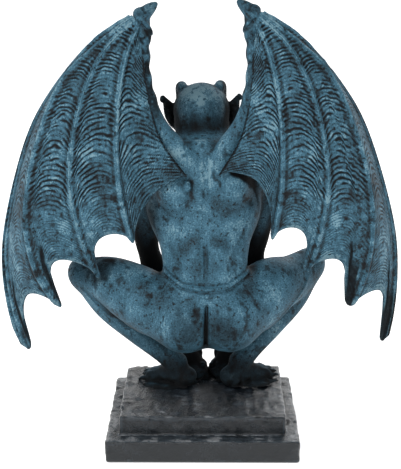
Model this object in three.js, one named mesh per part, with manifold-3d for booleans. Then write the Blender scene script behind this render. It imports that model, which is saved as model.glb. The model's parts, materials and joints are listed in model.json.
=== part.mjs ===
// A table-top gargoyle statue in cast resin: a winged figure crouching on a two-tier stone-look plinth.
// Millimetres, +Z up. The origin is the centre of the plinth's underside. The figure faces +Y.
import * as THREE from 'three';
import { mergeVertices } from 'three/addons/utils/BufferGeometryUtils.js';
import Module from 'manifold-3d';

const wasm = await Module();
wasm.setup();

// Driving dimensions

const plinth = {
  lower: { wide: 144, deep: 126, tall: 18 },
  upper: { wide: 124, deep: 102, tall: 14 },
  bevel: 1.4,
  jointWide: 2.6, // shallow masonry joints cut in the lower tier's two sides
  jointDeep: 1.6,
};
const seatGap = 0.3; // between the figure and the plinth that it is bedded on
const sliver = 0.02; // facets narrower than this are merged into their neighbours
const frontMargin = 3; // from the hands' furthest reach to the upper tier's front edge
const crownHeight = 234; // from the soles to the top of the skull
const leanDegrees = 1.6; // the figure leans this much towards its left, as the casting does
const offCentre = 4.5; // and stands this far to the right of the plinth's middle
const splayDegrees = { left: 25, right: 41 }; // how far each thigh turns forward from straight sideways
const wingSpread = { left: 1.03, right: 0.96 }; // reach of each wing against the drawn one
const kneeHigh = { left: 89, right: 86.5 };
const thighLift = { left: 3.8, right: -1.5 }; // of the thigh's top, near the knee
const elbowOut = { left: 6, right: 0 }; // how far each elbow stands out from the drawn one
const wingHalfThick = { membrane: 1.5, rib: 2.9, ribFront: 2.1 };

// The figure is drawn in units of its own: x from its midline, y forward, z up from the soles.
const drawnHeight = 234;
const drawnHandReach = 48;
const unit = crownHeight / drawnHeight;
const plinthTop = plinth.lower.tall + plinth.upper.tall;

// Geometry helpers

const vec = (p) => new THREE.Vector3(p[0], p[1], p[2]);

// A closed skin over rings of points, each counterclockwise seen from the end, and a point closing each end.
function skin(rings, first, last) {
  const sides = rings[0].length;
  const points = [...rings.flat(), first, last];
  const start = points.length - 2;
  const index = [];
  for (let r = 0; r + 1 < rings.length; r++) {
    for (let s = 0; s < sides; s++) {
      const a = r * sides + s;
      const b = r * sides + ((s + 1) % sides);
      index.push(a, b, b + sides, a, b + sides, a + sides);
    }
  }
  const top = (rings.length - 1) * sides;
  for (let s = 0; s < sides; s++) {
    const next = (s + 1) % sides;
    index.push(start, next, s, start + 1, top + s, top + next);
  }
  return new THREE.BufferGeometry().setFromPoints(points).setIndex(index);
}

// A limb along a smooth curve through its stations. A station is [x, y, z, half width, half depth].
// across says which way the width points, and relief shapes the section by angle and place along the limb.
function limb(stations, { sides = 8, steps = 6, across = [1, 0, 0], relief = () => 1 } = {}) {
  const path = new THREE.CatmullRomCurve3(stations.map(vec), false, 'centripetal');
  const sizes = new THREE.CatmullRomCurve3(
    stations.map((s) => new THREE.Vector3(s[3], s[4] ?? s[3], 0)), false, 'catmullrom');
  const frameAt = (t) => {
    const along = path.getTangent(t);
    const side = vec(across).addScaledVector(along, -vec(across).dot(along)).normalize();
    return { along, side, front: along.clone().cross(side) };
  };
  const ring = (t, shrink, shift) => {
    const { along, side, front } = frameAt(t);
    const size = sizes.getPoint(t);
    const centre = path.getPoint(t).addScaledVector(along, shift);
    return Array.from({ length: sides }, (_, i) => {
      const angle = (i / sides) * 2 * Math.PI;
      const factor = relief(angle, t) * shrink;
      return centre.clone()
        .addScaledVector(side, size.x * Math.cos(angle) * factor)
        .addScaledVector(front, size.y * Math.sin(angle) * factor);
    });
  };
  const domeOf = (t) => Math.min(sizes.getPoint(t).x, sizes.getPoint(t).y);
  const [startDome, endDome] = [domeOf(0), domeOf(1)];
  const rings = [ring(0, 0.7, -0.7 * startDome)];
  for (let i = 0; i <= steps; i++) rings.push(ring(i / steps, 1, 0));
  rings.push(ring(1, 0.7, 0.7 * endDome));
  const first = path.getPoint(0).addScaledVector(frameAt(0).along, -startDome);
  const last = path.getPoint(1).addScaledVector(frameAt(1).along, endDome);
  return skin(rings, first, last);
}

// An egg-shaped mass: centre, three half sizes, and a turn about x, y and z in degrees.
function mass(centre, half, turn = [0, 0, 0], { across = 10, up = 7 } = {}) {
  const g = new THREE.SphereGeometry(1, across, up);
  g.scale(...half);
  const [x, y, z] = turn.map(THREE.MathUtils.degToRad);
  g.applyMatrix4(new THREE.Matrix4().makeRotationFromEuler(new THREE.Euler(x, y, z)));
  return g.translate(...centre);
}

// A claw or horn tip: a cone from base to point.
function spike(base, point, radius, sides = 5) {
  const [from, to] = [vec(base), vec(point)];
  const g = new THREE.ConeGeometry(radius, from.distanceTo(to), sides, 1);
  const along = to.clone().sub(from).normalize();
  const turn = new THREE.Quaternion().setFromUnitVectors(new THREE.Vector3(0, 1, 0), along);
  return g.applyQuaternion(turn).translate(...from.lerp(to, 0.5).toArray());
}

// The same form on the other side of the figure's midline.
function mirrored(geometry) {
  const g = (geometry.index ? geometry.toNonIndexed() : geometry.clone()).scale(-1, 1, 1);
  const p = g.getAttribute('position');
  for (let i = 0; i < p.count; i += 3) {
    const a = new THREE.Vector3().fromBufferAttribute(p, i + 1);
    const b = new THREE.Vector3().fromBufferAttribute(p, i + 2);
    p.setXYZ(i + 1, b.x, b.y, b.z);
    p.setXYZ(i + 2, a.x, a.y, a.z);
  }
  return g;
}

const onBothSides = (geometries) => geometries.flatMap((g) => [g, mirrored(g)]);

function solid(geometry) {
  const bare = geometry.clone();
  for (const name of Object.keys(bare.attributes)) if (name !== 'position') bare.deleteAttribute(name);
  const merged = mergeVertices(bare, 1e-4);
  return new wasm.Manifold(new wasm.Mesh({
    numProp: 3,
    vertProperties: merged.attributes.position.array,
    triVerts: new Uint32Array(merged.index.array),
  }));
}

const join = (geometries) => geometries.map(solid).reduce((all, next) => all.add(next));

function meshOf(made, name, material) {
  const { numProp, numVert, vertProperties, triVerts } = made.getMesh();
  const points = new Float32Array(numVert * 3);
  for (let i = 0; i < numVert; i++) points.set(vertProperties.subarray(i * numProp, i * numProp + 3), i * 3);
  const g = new THREE.BufferGeometry().setAttribute('position', new THREE.BufferAttribute(points, 3));
  g.setIndex(new THREE.BufferAttribute(triVerts, 1));
  g.computeVertexNormals();
  const mesh = new THREE.Mesh(g, material);
  mesh.name = name;
  return mesh;
}

// Torso: from the seat to the neck, with a furrow down the spine and shoulder blades

function backRelief(angle, t) {
  const fromBack = Math.abs(angle - 1.5 * Math.PI);
  const cleft = 0.2 * Math.exp(-((fromBack / 0.22) ** 2)) * (1 - THREE.MathUtils.smoothstep(t, 0.1, 0.2));
  const furrow = 0.075 * Math.exp(-((fromBack / 0.16) ** 2));
  const muscle = 0.035 * Math.exp(-(((fromBack - 0.42) / 0.26) ** 2));
  const fade = THREE.MathUtils.smoothstep(t, 0.2, 0.32) * (1 - THREE.MathUtils.smoothstep(t, 0.8, 0.92));
  const blade = 0.07 * Math.exp(-(((fromBack - 0.68) / 0.3) ** 2)) * Math.exp(-(((t - 0.66) / 0.09) ** 2));
  const fromFront = Math.abs(angle - 0.5 * Math.PI);
  const breast = 0.05 * Math.exp(-(((fromFront - 0.5) / 0.3) ** 2));
  const high = THREE.MathUtils.smoothstep(t, 0.55, 0.7);
  return 1 + (muscle - furrow) * fade + blade + breast * high - cleft;
}

function torso() {
  return [
    limb([
      [0, -8, 60, 28, 20],
      [0, -10, 72, 33, 24],
      [0, -5, 88, 32.5, 21.5],
      [0, 0, 106, 32.5, 21],
      [0, 5, 128, 36.5, 23.5],
      [0, 10, 150, 42, 25],
      [0, 15, 170, 42, 23],
      [0, 18, 183, 35, 18],
      [0, 24, 193, 22, 16],
      [0, 33, 207, 17, 16.5],
    ], { sides: 20, steps: 11, relief: backRelief }),
    ...onBothSides([mass([17, -15, 62.5], [21.5, 21.5, 23.5], [0, 16, 0], { across: 10, up: 6 })]),
  ];
}

// Loincloth: a flap that hangs in front of the belly

function loincloth() {
  return [limb([
    [0, 17, 90, 13, 2.6],
    [0, 21, 70, 12.5, 2.4],
    [0, 20, 50, 9, 2.2],
    [0, 17, 36, 4, 1.6],
  ], { sides: 6, steps: 4 })];
}

// Legs: the thigh swings out from the hip by its splay, and the shin comes back in under the body

function leg(side) {
  const swing = THREE.MathUtils.degToRad(splayDegrees[side]);
  const hip = [19, -12, 64];
  const ankle = [25, 13, 18];
  const thighReach = 81;
  const [out, forward] = [thighReach * Math.cos(swing), thighReach * Math.sin(swing)];
  const knee = [hip[0] + out, hip[1] + forward, kneeHigh[side]];
  const between = (a, b, t, lift = 0, aside = 0) =>
    [a[0] + (b[0] - a[0]) * t + aside, a[1] + (b[1] - a[1]) * t, a[2] + (b[2] - a[2]) * t + lift];
  const thigh = limb([
    [...hip, 23, 23],
    [...between(hip, knee, 0.28, 1), 23.5, 24],
    [...between(hip, knee, 0.5, 3), 22, 23],
    [...between(hip, knee, 0.75, 1 + thighLift[side]), 17.5, 18],
    [...knee, 13.5, 14],
  ], { sides: 10, steps: 6, across: [0, 1, 0] });
  const shin = limb([
    [...knee, 13, 12.5],
    [...between(knee, ankle, 0.26, -5, 2), 12.5, 11.5],
    [...between(knee, ankle, 0.55, -5, 1), 10.5, 9.5],
    [...between(knee, ankle, 0.85, -2), 8.5, 8.5],
    [...ankle, 8.5, 9],
  ], { sides: 9, steps: 6, across: [0, 1, 0] });
  return [thigh, shin, mass(between(knee, hip, -0.08, 1), [8, 9, 9], [0, 0, 0], { across: 8, up: 5 })];
}

// Feet: turned out, flat on the sole, with four clawed toes each

const foot = { heel: [17, 9], yaw: 55, heelHigh: 8, toes: [-9, -3, 3, 9], reach: [36, 39, 38, 34] };

function footPieces() {
  const yaw = THREE.MathUtils.degToRad(foot.yaw);
  const ahead = (reach, aside = 0) => [
    foot.heel[0] + reach * Math.sin(yaw) + aside * Math.cos(yaw),
    foot.heel[1] + reach * Math.cos(yaw) - aside * Math.sin(yaw),
  ];
  const sole = limb([
    [...foot.heel, foot.heelHigh, 8],
    [...ahead(11), 9, 8.5, 10],
    [...ahead(22), 6.5, 9.5, 6.5],
    [...ahead(29), 5, 9.5, 5],
  ], { steps: 4, across: [Math.cos(yaw), -Math.sin(yaw), 0] });
  const toes = foot.toes.map((aside, i) => limb([
    [...ahead(24, aside * 0.7), 5, 3.6],
    [...ahead(31, aside * 0.95), 5.8, 3.4],
    [...ahead(foot.reach[i], aside * 1.15), 3.2, 2.7],
    [...ahead(foot.reach[i] + 7, aside * 1.25), 0.9, 0.5],
  ], { sides: 4, steps: 3 }));
  return [sole, ...toes];
}

// Arms: straight down in front of the body to hands laid flat between the feet

function arm(side) {
  const out = elbowOut[side];
  const whole = limb([
    [36, 20, 170, 13],
    [42, 24, 160, 12.5],
    [44, 28, 140, 10.5],
    [41 + 0.8 * out, 33, 116, 9.3],
    [38 + out, 35.5, 102, 8.5],
    [36 + 0.8 * out, 38, 90, 9.5],
    [31, 40, 70, 8.5],
    [22, 40, 44, 6.2],
    [17, 38, 26, 5.8],
    [13.5, 34, 14, 7.4],
    [12, 31, 7, 7],
  ], { sides: 8, steps: 13 });
  const shoulder = mass([39, 20, 170], [15.5, 15, 17], [0, 20, 0], { across: 10, up: 6 });
  return [shoulder, whole];
}

function hand() {
  const heel = mass([11.5, 26, 5], [9.5, 10, 5.5], [0, 0, 0], { across: 8, up: 5 });
  const fingers = [20, 15, 10, 5].map((x, i) => limb([
    [x * 0.9, 33, 6.4, 3],
    [x, 40, 5.8, 2.9],
    [x - 0.6, 44.5 - Math.abs(i - 1.5), 3, 2.3],
    [x - 1, drawnHandReach, 0.9, 0.4],
  ], { sides: 4, steps: 3 }));
  const thumb = limb([[9, 36, 12, 3], [7, 37, 17, 2.6], [8.5, 38, 21, 2], [12, 38, 23.5, 0.5]],
    { sides: 4, steps: 3 });
  return [heel, ...fingers, thumb];
}

// Head: a smooth skull, a heavy brow over a short muzzle, pointed ears and two stubby horns

function head() {
  const middle = [
    mass([0, 40, 213], [21.5, 24, 21], [0, 0, 0], { across: 13, up: 8 }), // skull
    mass([0, 40, 203], [18.5, 19, 16], [0, 0, 0], { across: 12, up: 7 }), // nape and jaw hinge
    mass([0, 51, 199], [14.5, 16, 11], [-16, 0, 0], { across: 10, up: 6 }), // jaw
    mass([0, 61, 206], [11, 12, 8.5], [0, 0, 0], { across: 9, up: 6 }), // muzzle
    mass([0, 71, 210], [6, 4.5, 4], [0, 0, 0], { across: 7, up: 4 }), // nose
    mass([0, 62, 192], [6.5, 6, 5], [0, 0, 0], { across: 7, up: 4 }), // chin
  ];
  const sides = onBothSides([
    mass([9, 58.5, 218.5], [10.5, 5.5, 4.2], [0, -16, -14], { across: 7, up: 5 }), // brow
    mass([14.5, 54, 207], [6.5, 8, 5.5], [0, 0, 0], { across: 7, up: 5 }), // cheek
    limb([
      [12, 54, 217, 6],
      [14.6, 54, 225, 5.2],
      [15, 50, 230.5, 4.2],
      [14.6, 45.5, 231.5, 2.6],
    ], { sides: 6, steps: 3 }), // horn
    limb([
      [15, 41, 197, 3, 3],
      [19, 42, 204, 6, 2.6],
      [22.5, 42.5, 211, 6.3, 2.4],
      [26, 43, 218, 3.5, 2],
      [28.8, 43, 224, 0.8, 0.8],
    ], { sides: 5, steps: 4 }), // ear
    spike([7, 68, 202.5], [7.6, 69.5, 195.5], 1.7, 4), // upper fang
    spike([9.5, 62.5, 196.5], [10.2, 65.5, 204], 1.7, 4), // lower tusk
  ]);
  return [...middle, ...sides];
}

// Wings: an arm rises from the back to a clawed wrist, where four fingers fan out and hold the membrane.
// Each finger is a smooth curve from wrist to tip, the outermost first. The last is the arm itself.

const fingers = [
  [[43.5, -14, 291], [68, -11, 275.5], [91, -5, 252], [116.5, 3, 216], [132, 8, 178], [146.5, 12, 122],
    [148.5, 14, 88], [145, 14, 56], [137, 12, 31]],
  [[42, -15, 291], [69, -20, 271], [94, -24, 247], [112, -28, 208], [121, -29, 176], [126, -26, 142],
    [122, -20, 106], [108, -14, 75]],
  [[40.5, -16, 290], [65, -25, 267], [83, -35, 228], [92, -38, 176], [88, -26, 134], [79, -10, 96]],
  [[39.5, -16, 289], [50.5, -25, 264], [58.5, -34, 218], [58, -36, 168], [51.5, -29, 127.5]],
  [[37.5, -14, 287], [40.5, -15, 258], [38.5, -14, 236], [33.5, -12, 210], [26, -9, 192], [15, -8, 175]],
];

// How far out and up each finger's tip is bent from the drawn one.
const tipBend = {
  left: [[0, 0], [0, 0], [0, 0], [0, 0], [0, 0]],
  right: [[4.8, 0], [5, -5.5], [0, 0], [0, 0], [0, 0]],
};

// The trailing edge rises from each finger's blunt prong in an arch that leans to the outer finger.
const scallops = {
  left: [
    { prong: { upper: 10, tip: 8.5 }, depth: 0.112, lean: 0.78 },
    { prong: { upper: 6.5, tip: 4 }, depth: 0.145, lean: 0.6 },
    { prong: { upper: 5, tip: 5 }, depth: 0.133, lean: 0.6 },
    { prong: { upper: 4, tip: 4 }, depth: 0.08, lean: 0.8 },
  ],
  right: [
    { prong: { upper: 11.5, tip: 8.5 }, depth: 0.115, lean: 0.5 },
    { prong: { upper: 14, tip: 8.5 }, depth: 0.12, lean: 0.62 },
    { prong: { upper: 8, tip: 8 }, depth: 0.14, lean: 0.6 },
    { prong: { upper: 4, tip: 4 }, depth: 0.155, lean: 0.75 },
  ],
};

const membraneRows = 8;
const columnShares = [0.1, 0.32, 0.66]; // of each panel, beyond its prong
const wristShare = 0.012; // where the membrane starts along the fingers, inside the wrist
const ribHalfWide = { wrist: 2.6, tip: 3.6 };
const billow = 2.2; // how far each panel swells backward between its fingers
const outerMargin = 3.4; // of membrane outside the outermost finger
const evenLength = 160; // near the wrist every finger is followed as if it were this long

// One wing's fingers as curves, with its trailing edge.
function wingForm(side) {
  const curves = fingers.map((points, finger) => {
    const [out, up] = tipBend[side][finger];
    return new THREE.CatmullRomCurve3(points.map((point, i) => {
      const bent = (i / (points.length - 1)) ** 6;
      return vec(point).add(new THREE.Vector3(out * bent, 0, up * bent));
    }), false, 'centripetal');
  });
  return { curves, scallops: scallops[side] };
}

// The point at share v along a finger. Rows start level with each other at the wrist.
function fingerPoint(form, finger, v) {
  const curve = form.curves[finger];
  const own = THREE.MathUtils.smoothstep(v, 0, 0.5);
  const pace = THREE.MathUtils.lerp(evenLength / curve.getLength(), 1, own);
  return curve.getPointAt(wristShare + (1 - wristShare) * v * pace);
}

// Width at share v along panel p, as a share of the distance between its two fingers there.
function shareOf(form, width, p, v, most) {
  return Math.min(most, width / fingerPoint(form, p, v).distanceTo(fingerPoint(form, p + 1, v)));
}

const prongShare = (form, p, v) => shareOf(form, form.scallops[p].prong.upper, p, v, 0.45);

// A prong's inner edge, which draws in towards its tip.
function tipShare(form, p, v) {
  const { upper, tip } = form.scallops[p].prong;
  return shareOf(form, THREE.MathUtils.lerp(upper, tip, THREE.MathUtils.smoothstep(v, 0.86, 1)), p, v, 0.45);
}

// The membrane's middle surface at share s across panel p and share v along its fingers.
function membranePoint(form, p, s, v) {
  const { depth, lean } = form.scallops[p];
  const prong = prongShare(form, p, v);
  const inside = Math.max(0, (s - prong) / (1 - prong));
  const arch = Math.sqrt(Math.max(0, Math.sin(Math.PI * inside ** lean)));
  const reach = v - depth * arch * v ** 3;
  const point = fingerPoint(form, p, reach).lerp(fingerPoint(form, p + 1, reach), s);
  point.y -= billow * Math.sin(Math.PI * s) * Math.sin(Math.PI * Math.min(1, v * 0.8 + 0.1));
  return point;
}

// The columns of the membrane's mesh: where each lies, and how thick it is there behind and in front.
function membraneColumns(form) {
  const rib = { behind: wingHalfThick.rib, before: wingHalfThick.ribFront };
  const thin = { behind: wingHalfThick.membrane, before: wingHalfThick.membrane };
  const last = form.curves.length - 2;
  const columns = [{ panel: 0, share: () => 0, out: outerMargin, behind: 0.9, before: 0.9 }];
  for (let p = 0; p <= last; p++) {
    const beyondProng = (inside) => (v) => THREE.MathUtils.lerp(prongShare(form, p, v), 1, inside);
    const ribEdge = (v) => THREE.MathUtils.lerp(ribHalfWide.wrist, ribHalfWide.tip, v);
    columns.push({ panel: p, share: () => 0, ...rib });
    columns.push({ panel: p, share: (v) => tipShare(form, p, v), ...thin });
    for (const inside of columnShares) columns.push({ panel: p, share: beyondProng(inside), ...thin });
    if (p < last) {
      columns.push({ panel: p, share: (v) => 1 - shareOf(form, ribEdge(v), p, v, 0.12), ...thin });
    }
  }
  columns.push({ panel: last, share: () => 1, behind: 0.7, before: 0.7 }); // inside the arm
  return columns;
}

function membrane(form) {
  const columns = membraneColumns(form);
  const rows = Array.from({ length: membraneRows + 1 }, (_, r) => r / membraneRows);
  const middle = columns.map((c) => rows.map((v) => {
    const point = membranePoint(form, c.panel, c.share(v), v);
    point.x += (c.out ?? 0) * Math.min(1, 0.4 + 4 * v);
    return point;
  }));
  const [across, along] = [columns.length, rows.length];
  const at = (i, r) => middle[Math.max(0, Math.min(across - 1, i))][Math.max(0, Math.min(along - 1, r))];
  const behind = [];
  const before = [];
  columns.forEach((c, i) => rows.forEach((_, r) => {
    const down = at(i, r + 1).clone().sub(at(i, r - 1));
    const over = at(i + 1, r).clone().sub(at(i - 1, r));
    // The thickness is laid off straight back and forward, more where the surface turns away from that.
    const facing = Math.max(0.6, Math.abs(over.cross(down).normalize().y));
    const taper = Math.min(1, 0.25 + 3 * rows[r]) / facing; // it starts thin, inside the wrist
    behind.push(middle[i][r].clone().add(new THREE.Vector3(0, -c.behind * taper, 0)));
    before.push(middle[i][r].clone().add(new THREE.Vector3(0, c.before * taper, 0)));
  }));
  const half = across * along;
  const index = [];
  const quad = (a, b, c, d) => index.push(a, c, b, a, d, c);
  for (let i = 0; i + 1 < across; i++) {
    for (let r = 0; r + 1 < along; r++) {
      const a = i * along + r;
      quad(a, a + 1, a + along + 1, a + along);
      quad(half + a, half + a + along, half + a + along + 1, half + a + 1);
    }
    const [top, bottom] = [i * along, i * along + along - 1];
    quad(top, top + along, half + top + along, half + top);
    quad(bottom, half + bottom, half + bottom + along, bottom + along);
  }
  for (let r = 0; r + 1 < along; r++) {
    const last = (across - 1) * along + r;
    quad(r, half + r, half + r + 1, r + 1);
    quad(last, last + 1, half + last + 1, half + last);
  }
  return new THREE.BufferGeometry().setFromPoints([...behind, ...before]).setIndex(index);
}

const wingRoot = 18; // how far the wings' roots lie from the midline

function wing(side) {
  const arms = limb([
    [6, 2, 163, 9, 7],
    [11, -3, 176, 10, 7],
    [19, -7, 192, 9, 7],
    [30, -11, 211, 6.5, 5.5],
    [37, -14, 234, 5, 5],
    [39.5, -15, 258, 4.4, 4.4],
    [37.5, -14, 287, 4.2, 4.4],
  ], { sides: 7, steps: 9 });
  const wrist = mass([39.5, -15, 288], [6.5, 5, 7], [0, 20, 0], { across: 8, up: 6 });
  const claw = limb([
    [38.5, -15, 290, 5],
    [34.5, -14, 294.5, 4],
    [30, -13, 298, 1.2],
  ], { sides: 6, steps: 3 });
  return [membrane(wingForm(side)), arms, wrist, claw]
    .map((g) => g.translate(-wingRoot, 0, 0).scale(wingSpread[side], 1, 1).translate(wingRoot, 0, 0));
}

// The plinth: two tiers with softened edges, and masonry joints in the lower tier's sides

function tier({ wide, deep, tall }, jointsLeft = [], jointsRight = []) {
  const { bevel, jointWide, jointDeep } = plinth;
  const [halfWide, halfDeep] = [wide / 2 - bevel, deep / 2 - bevel];
  const outline = new THREE.Shape();
  outline.moveTo(-halfWide, -halfDeep);
  outline.lineTo(halfWide, -halfDeep);
  for (const y of jointsRight) {
    outline.lineTo(halfWide, y - jointWide / 2);
    outline.lineTo(halfWide - jointDeep, y);
    outline.lineTo(halfWide, y + jointWide / 2);
  }
  outline.lineTo(halfWide, halfDeep);
  outline.lineTo(-halfWide, halfDeep);
  for (const y of jointsLeft) {
    outline.lineTo(-halfWide, y + jointWide / 2);
    outline.lineTo(-halfWide + jointDeep, y);
    outline.lineTo(-halfWide, y - jointWide / 2);
  }
  outline.closePath();
  return new THREE.ExtrudeGeometry(outline, {
    depth: tall - 2 * bevel, bevelEnabled: true, bevelThickness: bevel, bevelSize: bevel, bevelSegments: 2,
  }).translate(0, 0, bevel);
}

function plinthSolid() {
  const { lower, upper } = plinth;
  const sink = plinth.bevel * 2; // the upper tier grows out of the lower one
  const places = { left: [0.3, -0.06], right: [-0.22, 0.2] }; // of the joints, as shares of the depth
  const jointsOn = (side) => places[side].map((share) => share * lower.deep);
  const lowerTier = tier(lower, jointsOn('left'), jointsOn('right'));
  const upperTier = tier({ ...upper, tall: upper.tall + sink }).translate(0, 0, lower.tall - sink);
  return join([lowerTier, upperTier]);
}

// The figure, set on the plinth: scaled, leaned, moved over its footprint and cut flat under the soles

function figureSolid() {
  const pieces = [
    ...torso(),
    ...loincloth(),
    ...leg('right'),
    ...leg('left').map(mirrored),
    ...arm('right'),
    ...arm('left').map(mirrored),
    ...onBothSides([...footPieces(), ...hand()]),
    ...head(),
    ...wing('right'),
    ...wing('left').map(mirrored),
  ];
  const place = new THREE.Matrix4()
    .makeTranslation(offCentre, plinth.upper.deep / 2 - frontMargin - drawnHandReach * unit, plinthTop)
    .multiply(new THREE.Matrix4().makeRotationY(-THREE.MathUtils.degToRad(leanDegrees)))
    .multiply(new THREE.Matrix4().makeScale(unit, unit, unit));
  const placed = join(pieces.map((g) => g.clone().applyMatrix4(place)));
  const below = new THREE.BoxGeometry(4 * crownHeight, 4 * crownHeight, 2 * plinthTop);
  return placed.subtract(solid(below.translate(0, 0, seatGap))).simplify(sliver);
}

// Materials

const patina = new THREE.MeshStandardMaterial({ color: 0x3d6075, roughness: 0.55, metalness: 0 });
const slate = new THREE.MeshStandardMaterial({ color: 0x44484c, roughness: 0.7, metalness: 0 });

const statue = new THREE.Group();
statue.name = 'gargoyle_statue';
statue.add(meshOf(plinthSolid(), 'plinth', slate));
statue.add(meshOf(figureSolid(), 'figure', patina));

export default statue;
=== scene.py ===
import json
import math

import bpy
import numpy as np
import openvdb
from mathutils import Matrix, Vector

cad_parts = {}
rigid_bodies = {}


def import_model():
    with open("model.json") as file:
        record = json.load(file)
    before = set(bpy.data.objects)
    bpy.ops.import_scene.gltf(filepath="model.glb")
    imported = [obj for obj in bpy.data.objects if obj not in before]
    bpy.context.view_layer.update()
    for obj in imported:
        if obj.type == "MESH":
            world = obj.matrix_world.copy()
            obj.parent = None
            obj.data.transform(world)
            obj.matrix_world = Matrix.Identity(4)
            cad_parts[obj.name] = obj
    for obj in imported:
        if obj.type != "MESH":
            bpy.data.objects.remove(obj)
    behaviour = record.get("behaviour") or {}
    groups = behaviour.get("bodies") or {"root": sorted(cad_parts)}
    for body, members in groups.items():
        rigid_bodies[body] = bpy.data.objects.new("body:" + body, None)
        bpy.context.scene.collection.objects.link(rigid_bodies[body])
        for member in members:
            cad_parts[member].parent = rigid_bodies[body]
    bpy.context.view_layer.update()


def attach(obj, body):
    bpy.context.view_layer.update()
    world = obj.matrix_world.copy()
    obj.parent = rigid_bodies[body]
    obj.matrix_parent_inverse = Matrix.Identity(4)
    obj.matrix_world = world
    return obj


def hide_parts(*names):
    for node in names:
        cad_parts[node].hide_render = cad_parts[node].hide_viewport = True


scene = bpy.context.scene
for start_object in list(bpy.data.objects):
    bpy.data.objects.remove(start_object)
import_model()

# Sizes, in millimetres. The figure is drawn in a frame of its own:
# x from its midline, y forward, z up from the soles. Side is 1 for its right and -1 for its left.

MM = 0.001
OFF_CENTRE = 4.5
LEAN = math.radians(1.6)
PLINTH_TOP = 32.0
LOWER = (144.0, 126.0, 18.0)
UPPER = (124.0, 102.0, 14.0)
THIGH_REACH = 81.0
SPLAY = {"left": 25.0, "right": 41.0}
SPREAD = {"left": 1.03, "right": 0.96}
KNEE_HIGH = {"left": 89.0, "right": 86.5}
THIGH_LIFT = {"left": 3.8, "right": -1.5}
ELBOW_OUT = {"left": 6.0, "right": 0.0}
WING_ROOT = 18.0


def side_name(side):
    return "right" if side > 0 else "left"


def to_statue(points):
    """Figure frame in millimetres to the row frame in metres."""
    x, y, z = points.T
    c, s = math.cos(LEAN), math.sin(LEAN)
    return np.stack([x * c - z * s + OFF_CENTRE, y, x * s + z * c + PLINTH_TOP], 1) * MM


# Curves


class Curve:
    """A centripetal Catmull-Rom curve through rows of numbers. The first three are the place."""

    def __init__(self, stations, fine=60):
        p = np.array(stations, float)
        ends = np.vstack([2 * p[0] - p[1], p, 2 * p[-1] - p[-2]])
        rows = []
        for a, b, c, d in zip(ends[:-3], ends[1:-2], ends[2:-1], ends[3:]):
            g0, g1, g2 = (max(1e-3, np.linalg.norm((n - m)[:3]) ** 0.5) for m, n in ((a, b), (b, c), (c, d)))
            t1 = ((b - a) / g0 - (c - a) / (g0 + g1) + (c - b) / g1) * g1
            t2 = ((c - b) / g1 - (d - b) / (g1 + g2) + (d - c) / g2) * g1
            t = np.linspace(0, 1, fine, endpoint=False)[:, None]
            rows.append(b + t1 * t + (3 * (c - b) - 2 * t1 - t2) * t**2 + (2 * (b - c) + t1 + t2) * t**3)
        self.rows = np.vstack([*rows, p[-1:]])
        steps = np.linalg.norm(np.diff(self.rows[:, :3], axis=0), axis=1)
        self.run = np.concatenate([[0], np.cumsum(steps)])
        self.length = self.run[-1]

    def at(self, share):
        run = np.clip(share, 0, 1) * self.length
        return np.stack([np.interp(run, self.run, column) for column in self.rows.T], -1)


def smoothstep(x, low, high):
    t = np.clip((x - low) / (high - low), 0, 1)
    return t * t * (3 - 2 * t)


def hump(x, width):
    """1 where x is 0, and soon nothing further than width from it."""
    return np.exp(-((x / width) ** 2))


# Noise: values on a lattice, smoothly joined


def lattice(i, j, k, seed):
    h = (i * 374761393 + j * 668265263 + k * 2147483647 + seed * 974634777) & 0xFFFFFFFF
    h = ((h ^ (h >> 13)) * 1274126177) & 0xFFFFFFFF
    return ((h ^ (h >> 16)) & 0xFFFF) / 32767.5 - 1


def noise(x, y, z, size, seed=0):
    """Smooth noise from -1 to 1 with features of about that size."""
    x, y, z = np.broadcast_arrays(x / size, y / size, z / size)
    xi, yi, zi = (np.floor(a).astype(np.int64) for a in (x, y, z))
    fx, fy, fz = ((a - b) for a, b in ((x, xi), (y, yi), (z, zi)))
    fx, fy, fz = (f * f * (3 - 2 * f) for f in (fx, fy, fz))
    out = 0
    for a in (0, 1):
        for b in (0, 1):
            for c in (0, 1):
                weight = (fx if a else 1 - fx) * (fy if b else 1 - fy) * (fz if c else 1 - fz)
                out = out + weight * lattice(xi + a, yi + b, zi + c, seed)
    return out


# A form as distances on a grid: masses and limbs are blended in, creases are pressed in,
# and the surface is meshed

FAR = 30.0
MARGIN_ROUND = 3
LEAST_RADIUS = 0.3


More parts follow.
